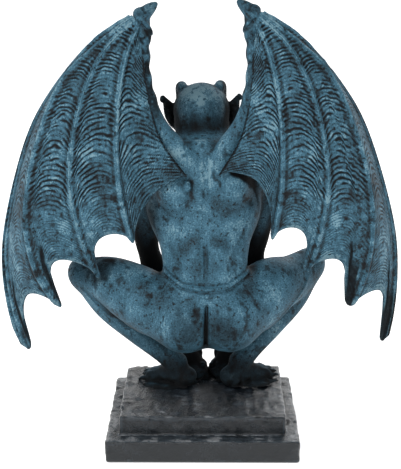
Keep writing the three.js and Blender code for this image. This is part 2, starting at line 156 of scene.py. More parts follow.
class Form:
    def __init__(self, low, high, step):
        self.low = np.array(low, float)
        self.step = step
        self.count = np.ceil((np.array(high, float) - self.low) / step).astype(int) + 1
        self.value = np.full(self.count, FAR, np.float32)

    def window(self, low, high):
        """The part of the grid between two corners: its slices and its x, y and z, or None outside it."""
        a = np.maximum(np.floor((np.array(low) - self.low) / self.step).astype(int), 0)
        b = np.minimum(np.ceil((np.array(high) - self.low) / self.step).astype(int) + 1, self.count)
        if (b <= a).any():
            return None
        cut = tuple(slice(m, n) for m, n in zip(a, b))
        axes = [(self.low[i] + self.step * np.arange(a[i], b[i])).astype(np.float32) for i in range(3)]
        return cut, np.ix_(*axes)

    def blend(self, cut, new, radius):
        old = self.value[cut]
        if radius <= 0:
            self.value[cut] = np.minimum(old, new)
            return
        h = np.clip(0.5 + 0.5 * (old - new) / radius, 0, 1)
        self.value[cut] = old + (new - old) * h - radius * h * (1 - h)

    def cut_away(self, cut, new, radius):
        old = self.value[cut]
        h = np.clip(0.5 - 0.5 * (old + new) / radius, 0, 1)
        self.value[cut] = old + (-new - old) * h + radius * h * (1 - h)

    def egg_distance(self, grid, centre, half, turn=None):
        x, y, z = (grid[i] - np.float32(centre[i]) for i in range(3))
        if turn is not None:
            x, y, z = (x * np.float32(a[0]) + y * np.float32(a[1]) + z * np.float32(a[2]) for a in turn)
        near = np.sqrt((x / half[0]) ** 2 + (y / half[1]) ** 2 + (z / half[2]) ** 2) + np.float32(1e-6)
        slope = np.sqrt((x / half[0] ** 2) ** 2 + (y / half[1] ** 2) ** 2 + (z / half[2] ** 2) ** 2)
        return near * (near - 1) / (slope + np.float32(1e-6))

    def egg(self, centre, half, radius=4.0, turn=None, carve=False):
        """A mass with three half widths, blended in over a radius, or carved out."""
        centre = np.array(centre, float)
        reach = np.array([max(half)] * 3 if turn is not None else half) + radius + MARGIN_ROUND
        found = self.window(centre - reach, centre + reach)
        if found is None:
            return
        cut, grid = found
        new = self.egg_distance(grid, centre, half, turn)
        if carve:
            self.cut_away(cut, new, radius)
        else:
            self.blend(cut, new, radius)

    def limb(self, stations, radius=4.0, across=(1, 0, 0), spacing=0.12):
        """A limb along a curve through [x, y, z, half width, half depth].
        The width points the way that across says."""
        rows = [list(s) + [s[3]] if len(s) == 4 else list(s) for s in stations]
        curve = Curve(rows)
        least = min(min(r[3], r[4]) for r in rows)
        count = int(curve.length / max(self.step * 0.7, spacing * least)) + 2
        share = np.linspace(0, 1, count)
        points = curve.at(share)
        along = np.gradient(points[:, :3], axis=0)
        along /= np.linalg.norm(along, axis=1)[:, None]
        side = np.array(across, float) - along * (along @ np.array(across, float))[:, None]
        side /= np.linalg.norm(side, axis=1)[:, None]
        front = np.cross(along, side)
        reach = points[:, 3:].max() + radius + MARGIN_ROUND
        found = self.window(points[:, :3].min(0) - reach, points[:, :3].max(0) + reach)
        if found is None:
            return
        cut, _ = found
        own = np.full(self.value[cut].shape, FAR, np.float32)
        first = np.array([c.start for c in cut])
        for p, a, s, f in zip(points, along, side, front):
            wide, deep = max(p[3], LEAST_RADIUS), max(p[4], LEAST_RADIUS)
            reach = max(wide, deep) + radius + MARGIN_ROUND
            small = self.window(p[:3] - reach, p[:3] + reach)
            if small is None:
                continue
            new = self.egg_distance(small[1], p[:3], (wide, deep, min(wide, deep)), (s, f, a))
            inner = tuple(slice(c.start - o, c.stop - o) for c, o in zip(small[0], first))
            own[inner] = np.minimum(own[inner], new)
        self.blend(cut, own, radius)

    def press(self, line, width, depth, rear=None):
        """Presses a groove along a line of points, or raises a ridge where depth is negative.
        With rear set, the line lies in x and z only and shapes all of the surface behind that y."""
        points = np.array(line, float)
        if rear is not None:
            points = np.stack([points[:, 0], np.zeros(len(points)), points[:, 1]], 1)
        reach = 3 * width
        low, high = points.min(0) - reach, points.max(0) + reach
        if rear is not None:
            low[1], high[1] = -99, rear + 6
        found = self.window(low, high)
        if found is None:
            return
        cut, (x, y, z) = found
        best = None
        flat = 0 if rear is not None else 1
        for a, b in zip(points[:-1], points[1:]):
            d = b - a
            t = np.clip(((x - a[0]) * d[0] + flat * (y - a[1]) * d[1] + (z - a[2]) * d[2]) / (d @ d), 0, 1)
            gap = (x - a[0] - t * d[0]) ** 2 + flat * (y - a[1] - t * d[1]) ** 2 + (z - a[2] - t * d[2]) ** 2
            best = gap if best is None else np.minimum(best, gap)
        amount = depth * np.exp(-best / width**2)
        if rear is not None:
            amount = amount * (1 - smoothstep(y, rear - 4, rear + 4))
        self.value[cut] += amount.astype(np.float32)

    def keep(self, axis, limit, above):
        """Cuts the form off flat at a plane across an axis."""
        line = (self.low[axis] + self.step * np.arange(self.count[axis])).astype(np.float32)
        shape = [1, 1, 1]
        shape[axis] = -1
        line = line.reshape(shape)
        self.value = np.maximum(self.value, limit - line if above else line - limit)

    def sample(self, points):
        """The distances at points, trilinear."""
        q = np.clip((points - self.low) / self.step, 0, np.array(self.count) - 1.001)
        i = q.astype(int)
        f = q - i
        out = 0
        for a in (0, 1):
            for b in (0, 1):
                for c in (0, 1):
                    w = np.prod(np.where([a, b, c], f, 1 - f), 1)
                    out = out + w * self.value[i[:, 0] + a, i[:, 1] + b, i[:, 2] + c]
        return out

    def mesh(self):
        """Points in the figure frame, triangles, quads and outward normals."""
        grid = openvdb.FloatGrid(FAR)
        grid.copyFromArray(np.ascontiguousarray(self.value))
        points, triangles, quads = grid.convertToPolygons(0.0, 0.0)
        points = points.astype(float) * self.step + self.low
        normal = np.stack([
            self.sample(points + e) - self.sample(points - e)
            for e in np.eye(3) * self.step
        ], 1)
        normal /= np.linalg.norm(normal, axis=1)[:, None] + 1e-9
        return points, triangles, quads, normal


def mirrored(stations):
    return [[-s[0], *s[1:]] for s in stations]


def shaded_mesh(name, points, faces, lift, shade):
    """A smooth mesh object with the two values that the paint reads at each point: lift and shade."""
    mesh = bpy.data.meshes.new(name)
    mesh.from_pydata(points.tolist(), [], faces)
    for label, values in (("lift", lift), ("shade", shade)):
        mesh.attributes.new(label, "FLOAT", "POINT").data.foreach_set("value", values.astype(np.float32))
    mesh.polygons.foreach_set("use_smooth", np.ones(len(mesh.polygons), bool))
    mesh.update()
    piece = bpy.data.objects.new(name, mesh)
    scene.collection.objects.link(piece)
    return piece


# The figure


def turned(x=0, y=0, z=0):
    """The axes of a mass turned by degrees about x, then y, then z."""
    out = np.eye(3)
    for axis, angle in ((0, x), (1, y), (2, z)):
        a = math.radians(angle)
        c, s = math.cos(a), math.sin(a)
        i, j = ((1, 2), (2, 0), (0, 1))[axis]
        r = np.eye(3)
        r[i, i], r[i, j], r[j, i], r[j, j] = c, -s, s, c
        out = r @ out
    return out.T


def add_torso(form):
    form.limb([
        [0, -8, 60, 28, 20], [0, -10, 72, 32, 23], [0, -5, 88, 32.5, 21.5], [0, 0, 106, 32, 20.5],
        [0, 5, 128, 36, 23], [0, 10, 150, 41.5, 24.5], [0, 15, 170, 41, 22.5], [0, 18, 183, 34, 17.5],
        [0, 27, 193, 21, 14], [0, 36, 207, 17, 14],
    ], 4, spacing=0.06)
    for side in (1, -1):
        form.egg([side * 17, -15, 62.5], (21.5, 21.5, 23.5), 7, turned(y=side * 16))
        form.egg([side * 21, -2, 163], (14, 17, 19), 8, turned(y=side * 18))
        form.egg([side * 26, 14, 143], (15.5, 17, 24), 8)
        form.egg([side * 9.5, -17, 100], (8, 5.5, 20), 8)
    form.egg([0, 0.0, 178], (21, 8.5, 19), 9)
    form.egg([0, 10.0, 184.5], (20, 10, 11), 8)


def add_leg(form, side):
    swing = math.radians(SPLAY[side_name(side)])
    lift = THIGH_LIFT[side_name(side)]
    hip = np.array([19.0, -12, 64])
    ankle = np.array([25.0, 13, 18])
    knee = np.array([
        hip[0] + THIGH_REACH * math.cos(swing),
        hip[1] + THIGH_REACH * math.sin(swing),
        KNEE_HIGH[side_name(side)],
    ])

    def between(a, b, t, lift=0, out=0):
        x, y, z = (m + (n - m) * t for m, n in zip(a, b))
        return [side * (x + out), y, z + lift]

    form.limb([
        [*between(hip, knee, 0), 22.5, 22.5], [*between(hip, knee, 0.28, 1), 23, 23.5],
        [*between(hip, knee, 0.5, 3), 21.5, 22.5], [*between(hip, knee, 0.75, 1 + lift), 17.5, 18],
        [*between(hip, knee, 1), 13, 13.5],
    ], 8, (0, 1, 0))
    form.limb([
        [*between(knee, ankle, 0), 12.5, 12], [*between(knee, ankle, 0.26, -5, 2), 12.5, 11.5],
        [*between(knee, ankle, 0.55, -5, 1), 10.5, 9.5], [*between(knee, ankle, 0.85, -2), 8.2, 8.2],
        [*between(knee, ankle, 1), 8.5, 9],
    ], 3, (0, 1, 0))
    form.egg(between(knee, hip, -0.08, 1), (8, 9, 9), 6)


FOOT_HEEL = (17.0, 9.0)
FOOT_YAW = math.radians(55)
# how far each toe lies aside, and how far it reaches
TOES = ((-9, 36), (-3, 39), (3, 38), (9, 34))


def ahead(reach, aside=0.0):
    """A place on the right foot, from its heel."""
    return [
        FOOT_HEEL[0] + reach * math.sin(FOOT_YAW) + aside * math.cos(FOOT_YAW),
        FOOT_HEEL[1] + reach * math.cos(FOOT_YAW) - aside * math.sin(FOOT_YAW),
    ]


def sided(stations, side):
    return stations if side > 0 else mirrored(stations)


def add_foot(form, side):
    across = (math.cos(FOOT_YAW), -math.sin(FOOT_YAW) * side, 0)
    form.limb(sided([
        [*FOOT_HEEL, 8, 8, 8], [*ahead(11), 9, 8.5, 9.5],
        [*ahead(22), 6.5, 9.5, 6.5], [*ahead(29), 5, 9.5, 5],
    ], side), 3, across)
    for aside, reach in TOES:
        form.limb(sided([
            [*ahead(22, aside * 0.7), 5.5, 3.4], [*ahead(30, aside * 0.95), 6.2, 3.1],
            [*ahead(reach - 3, aside * 1.1), 3.6, 3.1], [*ahead(reach, aside * 1.15), 3.0, 2.2],
        ], side), 1.5)
        form.limb(sided([
            [*ahead(reach - 1, aside * 1.15), 3.2, 1.9], [*ahead(reach + 3, aside * 1.2), 3.2, 1.4],
            [*ahead(reach + 7, aside * 1.25), 0.8, 0.4],
        ], side), 0.5)


def add_arm(form, side):
    out = ELBOW_OUT[side_name(side)]
    form.limb(sided([
        [36, 20, 170, 13], [42, 24, 160, 12.5], [44, 28, 140, 10.5], [41 + 0.8 * out, 33, 116, 9.3],
        [38 + out, 35.5, 102, 8.5], [36 + 0.8 * out, 38, 90, 9.5], [31, 40, 70, 8.5], [22, 40, 44, 6.2],
        [17, 38, 26, 5.8], [13.5, 34, 14, 7.2], [12, 31, 7, 7],
    ], side), 5)
    form.egg([side * 39, 20, 170], (15.5, 15, 17), 6, turned(y=side * 20))
    form.egg([side * 45, 33, 148], (8, 9, 15), 6)
    form.egg([side * 41, 24.5, 138], (7, 7, 19), 5)
    for i, x in enumerate((20, 15, 10, 5)):
        bent = 44.5 - abs(i - 1.5)
        form.limb(sided([[x * 0.9, 33, 6.4, 3], [x, 40, 5.6, 2.7], [x - 0.6, bent - 1, 3.2, 2.2]], side), 1.2)
        claw = [[x - 0.4, bent - 2, 3.6, 1.9], [x - 0.8, bent + 1, 2.4, 1.3], [x - 1, 48, 0.9, 0.4]]
        form.limb(sided(claw, side), 0.4)
    thumb = [[9, 36, 12, 3], [7, 37, 17, 2.6], [8.5, 38, 21, 2], [12, 38, 23.5, 0.5]]
    form.limb(sided(thumb, side), 1.5)
    form.egg([side * 11.5, 26, 5], (9.5, 10, 5.5), 3)
    form.egg([side * 5.5, 33, 7], (4.5, 6, 6), 2)
    for k in range(7):
        lump = [2.5 + 1.9 * k, 26 + 3 * math.sin(4 * k + side), 6 + 4.5 * math.sin(2.3 * k + 0.8 * side)]
        form.egg(sided([lump], side)[0], (2.6, 3.2, 2.6), 0.8)


def add_head(form):
    form.egg([0, 40, 213.0], (21.5, 24, 21), 4)
    form.egg([0, 38, 200.0], (19.6, 20, 16), 6)
    form.egg([0, 51, 199.0], (14.5, 16, 11), 5, turned(x=-16))
    form.egg([0, 60, 206.0], (11, 12, 8.5), 5)
    form.egg([0, 70, 210.0], (6, 4.5, 4), 2.5)
    form.egg([0, 62, 192.0], (6.5, 6, 5), 3)
    for side in (1, -1):
        form.egg([side * 14.5, 54, 207], (6.5, 8, 5.5), 3)
        form.egg([side * 9, 61.5, 213.5], (5.2, 5, 4.2), 2, carve=True)
        form.egg([side * 9, 59.5, 213], (3.9, 3.9, 3.6), 0.6)
        form.egg([side * 9, 58.5, 218.5], (10.5, 5.5, 4.0), 2, turned(y=-side * 16, z=-side * 14))
        form.egg([side * 4.5, 71.5, 209.5], (2.8, 3, 2.6), 1.2)
        form.egg([side * 3.4, 74, 208.6], (1.3, 2.2, 1.1), 0.6, carve=True)
        horn = [[12, 54, 217, 6], [14.4, 54, 224.5, 5.2], [14.8, 49.5, 229.6, 4.6], [14.2, 44, 229.6, 3.8]]
        form.limb(sided(horn, side), 3)
        form.press(sided([[9.2, 44, 230], [9.8, 50, 232], [9, 56, 230]], side), 1.0, 0.9)
        form.limb(sided([
            [15, 41, 197, 3, 3], [19, 42, 204, 6, 2.6], [22.5, 42.5, 211, 6.3, 2.4], [26, 43, 218, 3.5, 2],
            [28.8, 43, 224, 0.8, 0.8],
        ], side), 2)
        form.limb(sided([[6.5, 66, 203, 1.7], [7.2, 68.5, 199, 1.4], [7.6, 69.5, 195.5, 0.4]], side), 0.5)
        form.limb(sided([[9, 61.5, 195, 1.8], [10, 64, 200, 1.4], [10.2, 65.5, 204, 0.4]], side), 0.5)
        # ragged tufts and pits up each ear, and the beard below it
        for k in range(9):
            up = k / 8
            bite = 1.7 + 0.8 * math.sin(7.3 * k + side)
            tuft = [19.4 + 9 * up + 1.6 * math.sin(5 * k), 41.5 + 1.2 * math.cos(3 * k), 199 + 23 * up]
            form.egg(sided([tuft], side)[0], (bite * 0.9, 1.9, bite * 1.25), 0.7)
            pit = [18 + 8 * up, 39.4 - 0.8 * math.sin(4 * k), 200.5 + 20 * up]
            form.egg(sided([pit], side)[0], (1.3, 1.5, 1.5), 0.6, carve=True)
            beard = [15.5 + 1.2 * math.sin(6 * k), 39 + 2.2 * k % 7, 192 + 1.9 * k]
            form.egg(sided([beard], side)[0], (2.4, 2.6, 2.1), 0.8)
    # the mouth, wrinkles over the muzzle and the frown
    form.press([[-13, 58, 202.5], [-8, 67, 200.5], [0, 71.5, 200], [8, 67, 200.5], [13, 58, 202.5]], 1.3, 2.4)
    for k in range(3):
        z = 213.5 + 2.6 * k
        y = 70 - 1.6 * k
        form.press([[-4.5, y - 1.5, z + 1.5], [0, y, z], [4.5, y - 1.5, z + 1.5]], 0.8, 0.9)
    form.press([[0, 62, 219], [0, 60, 226]], 1.1, 1.2)
    for side in (1, -1):
        form.press(sided([[11, 66, 208], [14, 60, 201], [12, 55, 195]], side), 1.2, 1.0)
        form.press(sided([[18.5, 45.5, 203], [22, 46, 210.5], [26, 45.5, 218.5]], side), 1.9, 2.6)


def add_loincloth(form):
    form.limb([[0, 17, 90, 13, 2.6], [0, 21, 70, 12.5, 2.4], [0, 20, 50, 9, 2.2], [0, 17, 36, 4, 1.6]], 2)
    for x in (-6, -2, 3, 7):
        form.press([[x, 24, 84], [x * 0.9, 24.5, 66], [x * 0.5, 22.5, 48]], 0.9, 0.7)


def add_wing_arm(form, side):
    reach = SPREAD[side_name(side)]

    def spread(stations):
        return sided([[WING_ROOT + (s[0] - WING_ROOT) * reach, *s[1:]] for s in stations], side)

    form.limb(spread([
        [6, 2, 163, 9, 7], [11, -3, 176, 10, 7], [19, -7, 192, 9, 7], [30, -11, 211, 6.5, 5.5],
        [37, -14, 234, 5, 5], [39.5, -15, 258, 4.4, 4.4], [37.5, -14, 287, 4.2, 4.4],
    ]), 7)
    form.limb(spread([[39.5, -15, 282, 5.5, 4.5], [39.5, -15, 292, 5.5, 4.5]]), 2)
    form.limb(spread([
        [39, -15, 289.5, 5.2], [35, -14, 293.6, 4.6], [31.5, -13.5, 296.4, 3.2], [29.4, -13, 298, 1.8],
    ]), 1)
    # knuckles and bands down the arm, and the straps by which the fingers hold the wrist
    for x, z, swell in ((37.6, 276, 4.6), (38.8, 262, 4.6), (39, 246, 4.9), (36.5, 231, 5.2)):
        form.egg(spread([[x, -15.2, z]])[0], (swell, swell, 6), 3.5)
    for x, z in ((36.8, 270.5), (38.5, 254.5), (37.6, 238.5), (33.5, 222)):
        form.press(spread([[x - 7, -18, z - 1.2], [x - 2, -21, z], [x + 6, -18, z + 1]]), 0.8, 0.8)
        form.press(spread([[x - 7, -18, z + 0.8], [x - 2, -21, z + 2], [x + 6, -18, z + 3]]), 0.8, -0.5)
    form.limb(spread([
        [41, -19.5, 290, 1.9], [37, -20, 286.5, 1.8], [33.6, -17, 280.5, 1.7], [33, -12, 277.5, 1.4],
    ]), 0.6)
    form.limb(spread([[35, -18.5, 291.5, 1.5], [39, -20.3, 289.5, 1.6], [44, -17.5, 287.5, 1.5]]), 0.6)
    form.press(spread([[33.5, -19, 288.5], [36.5, -19, 292.5], [38, -17, 296]]), 0.7, 0.8)


# lines on the back, in x and z

BELT = [[-29.5, 99.7], [-16.9, 93.2], [1.1, 90.6], [16.5, 91.6], [31.7, 97.6]]
SPINE = [[0.5, 97], [0.8, 110], [0.5, 126], [1.5, 145], [2.6, 164], [2.5, 184]]
CLEFT = [[0.6, 78], [-0.4, 68], [-1.4, 48]]
# each line with its width, its depth (negative: a ridge) and the y behind which it shows
BACK_LINES = (
    (((-13.7, 167), (-9.6, 158.7), (-12.9, 146.7), (-17.9, 130.7)), 1.8, 0.9, 2),
    (((9.9, 176), (14, 162.6), (25.6, 157), (34.2, 150)), 1.8, 0.9, 2),
    (((-30, 150), (-22, 143), (-12, 141)), 1.6, 0.5, 2),
    (((8, 150), (18, 143), (29, 141)), 1.6, 0.5, 2),
    (((-26, 122), (-20, 112), (-17, 103)), 2.2, 0.6, 2),
    (((25, 124), (20, 112), (17, 103)), 2.2, 0.6, 2),
    (((-96, 82), (-86, 70), (-75, 60), (-62, 56.5), (-50, 50.5), (-38, 43)), 0.9, -0.9, 26),
    (((80, 85), (75, 76), (66, 66.5), (56, 58.5), (46, 49), (36, 42)), 0.9, -0.9, 26),
    (((-40.5, 85), (-42, 82), (-44.5, 78)), 1.1, 1.5, 2),
    (((35, 80), (38, 77), (39, 73)), 1.1, 1.0, 2),
    (((-62, 92), (-50, 84), (-40, 74)), 2.2, 0.5, 10),
    (((64, 92), (52, 84), (43, 74)), 2.2, 0.5, 10),
)


def press_back(form):
    form.press(SPINE, 2.2, 1.7, rear=0)
    form.press(CLEFT, 1.6, 3.8, rear=-14)
    form.press([[0.8, 88], [0.3, 74]], 3.0, 0.9, rear=-14)
    for line, width, depth, rear in BACK_LINES:
        form.press(line, width, depth, rear=rear)
    for side in (1, -1):
        # tendons behind each ankle
        form.press(sided([[22, 2, 16], [26, 4, 26], [33, 6, 36]], side), 0.9, -0.9)
        form.press(sided([[25, 3, 12], [29, 6, 24], [36, 9, 34]], side), 1.0, 0.9)
    form.egg([-11.4, -14.5, 166.5], (3.2, 3.2, 4.4), 1.5)
    form.press([[x, z + 0.4] for x, z in BELT], 1.05, -1.6, rear=8)
    form.press([[x, z + 3.0] for x, z in BELT], 0.9, 1.3, rear=8)
    form.press([[x, z - 2.4] for x, z in BELT], 1.0, 1.3, rear=8)


def add_ground(form):
    """The low, ragged ground that is cast with the hands and the feet."""
    for side in (1, -1):
        form.egg([side * 31, 15, -0.6], (25, 14, 3.4), 1.5)
    form.egg([0, 34, -0.6], (16, 12, 3.4), 1.5)
    found = form.window((-70, -8, -4), (70, 60, 16))
    if found is None:
        return
    cut, (x, y, z) = found
    rough = 1.1 * noise(x, y, z, 3.4, 51) + 0.8 * noise(x, y, z * 1.4, 6, 52)
    form.value[cut] += (rough * (1 - smoothstep(z, 5, 14))).astype(np.float32)


def add_all(form):
    add_torso(form)
    for side in (1, -1):
        add_leg(form, side)
    add_loincloth(form)
    for side in (1, -1):
        add_foot(form, side)
        add_wing_arm(form, side)
        add_arm(form, side)
    add_head(form)
    press_back(form)
    add_ground(form)


# painted shade: spots under the wing tips on the thighs, low on the buttocks and in their cleft, and on the
# left flank beneath the wing; each spot's place, its reach and its strength
PAINTED_SHADE_SPOTS = (
    ((-82, 4, 98), (13, 16, 10), 0.9),
    ((76, 10, 99), (8, 14, 8), 0.85),
    ((-13, -34, 63), (12, 14, 15), 0.6),
    ((12, -34, 61), (11, 14, 14), 0.6),
    ((0, -34, 60), (2.6, 20, 18), 0.85),
    ((-39, 2, 138), (6, 16, 16), 0.85),
)
FIGURE_PROBES = (1.6, 5.0)
# painted shadow: a black band along the gap beside the right wing's inner edge, in x and z
SHADOW_GAP_LINE = ((22.4, 175.7), (27.4, 174), (33.9, 168.7), (39, 161), (41.7, 151), (44.5, 138))


def off_line(x, z, line):
    """The distance in x and z from a line of points."""
    best = np.full(len(x), 99.0)
    for a, b in zip(line[:-1], line[1:]):
        dx, dz = b[0] - a[0], b[1] - a[1]
        t = np.clip(((x - a[0]) * dx + (z - a[1]) * dz) / (dx * dx + dz * dz), 0, 1)
        best = np.minimum(best, np.hypot(x - a[0] - t * dx, z - a[1] - t * dz))
    return best


def darkness(x, y, z, normal, head):
    """Where the resin was left black and where shade is painted, from 0 to 1."""
    # the head took less of the blue, with painted shade at its sides and below; painted shade on the arms' rear
    # faces; the hands and the feet darker towards the bottom
    dark = 0.3 + 0.6 * smoothstep(abs(x), 14, 20) + 0.5 * (1 - smoothstep(z, 203, 219))
    dark = head * np.minimum(0.95, dark)
    rearward = smoothstep(-normal[:, 1], -0.35, 0.35)
    arms = smoothstep(y, 14, 26) * (1 - smoothstep(z, 165, 185)) * (1 - smoothstep(abs(x), 54, 62))
    dark = np.maximum(dark, arms * rearward)
    dark = np.maximum(dark, (0.45 + 0.45 * rearward) * (1 - smoothstep(z, 16, 40)))
    # a broken crust up the arms of the wings, most on the left one
    crust = smoothstep(noise(x, y, z, 4.5, 49) + 0.6 * noise(x, y, z, 1.8, 50), -0.5, 0.4)
    crust = crust * np.where(x < 0, 0.9, 0.6) * smoothstep(z, 208, 230)
    dark = np.maximum(dark, crust * (1 - smoothstep(z, 286, 292)) * (1 - smoothstep(y, 0, 10)))
    # darker towards the bottom of the figure
    dark = np.maximum(dark, 0.3 * (1 - smoothstep(z, 30, 78)))
    # painted shade, in ragged spots
    for place, size, strength in PAINTED_SHADE_SPOTS:
        away = sum(((at - p) / r) ** 2 for at, p, r in zip((x, y, z), place, size))
        ragged = away * (1 + 0.9 * noise(x, y, z, 5, 45)) + 0.5 * noise(x, y, z, 3, 46)
        dark = np.maximum(dark, strength * np.exp(-(np.maximum(ragged, 0) ** 1.5)))
    # painted shadow along the right wing's inner edge
    beside = off_line(x, z, SHADOW_GAP_LINE) + 0.7 * noise(x, y, z, 4, 53)
    dark = np.maximum(dark, (1 - smoothstep(beside, 1.6, 3.4)) * (1 - smoothstep(y, 0, 8)))
    return np.maximum(dark, 0.4 * smoothstep(z, 288, 294))


def figure_piece(name, low, high, step, cuts):
    form = Form(low, high, step)
    add_all(form)
    for axis, limit, above in cuts:
        form.keep(axis, limit, above)
    points, triangles, quads, normal = form.mesh()
    # lift: how far the surface is from other parts of the figure, 0 in a crevice and 1 on a free bulge;
    # crevices come out dark, as black paint and as painted shade
    near, far = (form.sample(points + normal * probe) / probe for probe in FIGURE_PROBES)
    lift = np.clip(0.5 * near + 0.5 * far, 0, 1) ** 1.5
    x, y, z = points.T
    head = smoothstep(z, 192, 204) * smoothstep(y, 8, 18)
    dark = darkness(x, y, z, normal, head)
    dabs = smoothstep(noise(x, y, z * 0.6, 4.2, 41) + 0.6 * noise(x, y, z, 2.1, 42), 0.35, 0.95)
    patches = noise(x, y, z, 17, 43) + 0.6 * noise(x, y, z, 8, 44)
    seat = np.exp(-((x / 34) ** 2) - ((z - 66) / 22) ** 2) * (1 - smoothstep(y, -26, -12))
    nape = np.exp(-((x / 24) ** 2) - ((z - 184) / 15) ** 2) * (1 - smoothstep(y, 10, 20))
    # painted light: the nape lighter; the seat a little darker
    lift = 0.79 * lift - 0.36 * dabs + 0.12 * patches + 0.28 * nape - 0.07 * seat
    mottled = noise(x, y, z * 0.5, 6, 47) + 0.7 * noise(x, y, z, 2.2, 48)
    # the top of the head lighter, partly painted light and partly the blue brushed on there
    lift = lift + head * (0.14 * smoothstep(z, 214, 232) + 0.16 * mottled)
    faces = [*triangles.tolist(), *quads.tolist()]
    return shaded_mesh(name, to_statue(points), faces, lift, dark)


# The wings: four fingers fan out from the wrist and hold a rippled membrane. The last curve is the wing's arm.

FINGERS = (
    ((43.5, -14, 291), (68, -11, 275.5), (91, -5, 252), (116.5, 3, 216), (132, 8, 178), (146.5, 12, 122),
     (148.5, 14, 88), (145, 14, 56), (137, 12, 31)),
    ((42, -15, 291), (69, -20, 271), (94, -24, 247), (112, -28, 208), (121, -29, 176), (126, -26, 142),
     (122, -20, 106), (108, -14, 75)),
    ((40.5, -16, 290), (65, -25, 267), (83, -35, 228), (92, -38, 176), (88, -26, 134), (79, -10, 96)),
    ((39.5, -16, 289), (50.5, -25, 264), (58.5, -34, 218), (58, -36, 168), (51.5, -29, 127.5)),
    ((37.5, -14, 287), (40.5, -15, 258), (38.5, -14, 236), (33.5, -12, 210), (26, -9, 192), (15, -8, 175)),
)
# how far each finger's tip is bent out and up
TIP_BEND = {
    "left": ((0, 0), (0, 0), (0, 0), (0, 0), (0, 0)),
    "right": ((4.8, 0), (5, -5.5), (0, 0), (0, 0), (0, 0)),
}
# each panel's prong: its width above and at its tip, then the depth and the lean of the arch beside it
SCALLOPS = {
    "left": ((10, 8.5, 0.112, 0.78), (6.5, 4, 0.145, 0.6), (5, 5, 0.133, 0.6), (4, 4, 0.08, 0.8)),
    "right": ((11.5, 8.5, 0.115, 0.5), (14, 8.5, 0.12, 0.62), (8, 8, 0.14, 0.6), (4, 4, 0.155, 0.75)),
}
RIB_INSET = {"left": 4.2, "right": 0.6}
WRIST_SHARE = 0.012
EVEN_LENGTH = 160.0
BILLOW = 2.2
MARGIN = 3.4
MOST_PRONG = 0.45
WING_ROWS = 400
PANEL_COLUMNS = 37
PANELS = 4
FRONT_COLUMN_STEP = 2
FRONT_ROW_STEP = 4
HALF_THICK = 1.3


def finger_curves(side):
    curves = []
    for line, (out, up) in zip(FINGERS, TIP_BEND[side_name(side)]):
        bent = (np.arange(len(line)) / (len(line) - 1)) ** 6
        curves.append(Curve(np.array(line, float) + np.outer(bent, (out, 0, up))))
    return curves


def finger_run(curve, v):
    """How far along a finger the row at share v lies. Rows start level with each other at the wrist."""
    pace = EVEN_LENGTH / curve.length
    pace = pace + (1 - pace) * smoothstep(v, 0, 0.5)
    return WRIST_SHARE + (1 - WRIST_SHARE) * v * pace


def membrane(side, v):
    """The sheet's middle as columns of rows, and what is known at each of its points."""
    curves = finger_curves(side)
    # each column's panel, its share across it, and how far it lies out beyond the first finger
    columns = [(0, 0.0, k) for k in (1.0, 0.55)]
    for p in range(PANELS):
        shares = np.linspace(0, 1, PANEL_COLUMNS + 1)
        shares = shares - 0.05 * np.sin(2 * np.pi * shares)
        columns += [(p, float(s), 0.0) for s in shares[:-1]]
    columns.append((PANELS - 1, 1.0, 0.0))
    middle, gap_in, gap_out, panel_at, share_at, mean_run, prong_at = [], [], [], [], [], [], []
    for p, s, out in columns:
        first, second = curves[p], curves[p + 1]
        wide = np.linalg.norm(first.at(finger_run(first, v)) - second.at(finger_run(second, v)), axis=1)
        upper, tip, depth, lean = SCALLOPS[side_name(side)][p]
        prong = np.minimum(MOST_PRONG, (tip + (upper - tip) * (1 - smoothstep(v, 0.86, 1))) / wide)
        full = np.minimum(MOST_PRONG, upper / wide)
        # the columns draw in with the prong, so that none of them folds over its edge
        share = np.where(s < full, s * prong / full, s)
        inside = np.clip((s - full) / (1 - full), 0, 1)
        arch = np.sqrt(np.clip(np.sin(np.pi * inside**lean), 0, None))
        reach = v - depth * arch * v**3
        # the prong's blunt end is rounded
        from_middle = np.where(s < full, 2 * s / full - 1, 1.0) if not out else -1.0 - 0.4 * out
        reach = reach - 0.011 * from_middle**2 * smoothstep(v, 0.93, 1) * (s < full)
        a, b = first.at(finger_run(first, reach)), second.at(finger_run(second, reach))
        point = a + (b - a) * share[:, None]
        point[:, 1] -= BILLOW * math.sin(math.pi * s) * np.sin(np.pi * np.minimum(1, v * 0.8 + 0.1))
        point[:, 0] += MARGIN * out * np.minimum(1, 0.4 + 4 * v)
        wide = np.linalg.norm(a - b, axis=1)
        if p == PANELS - 1:
            # the innermost panel laps over the back of the wing's arm
            arm = 4.6 + 7.5 * smoothstep(v, 0.55, 1)
            lap = smoothstep(v, 0.04, 0.2) * smoothstep(share, 0.45, 0.95)
            point[:, 1] -= arm * lap
            point[:, 0] -= (1.3 + 2.2 * smoothstep(v, 0.7, 1)) * lap
        middle.append(point)
        gap_in.append(share * wide + out * MARGIN)
        gap_out.append((1 - share) * wide)
        panel_at.append(np.full(len(v), p))
        share_at.append(share)
        prong_at.append(prong * wide)
        mean_run.append(0.5 * (first.length * finger_run(first, v) + second.length * finger_run(second, v)))
    return (np.array(a) for a in (middle, gap_in, gap_out, panel_at, share_at, mean_run, prong_at))


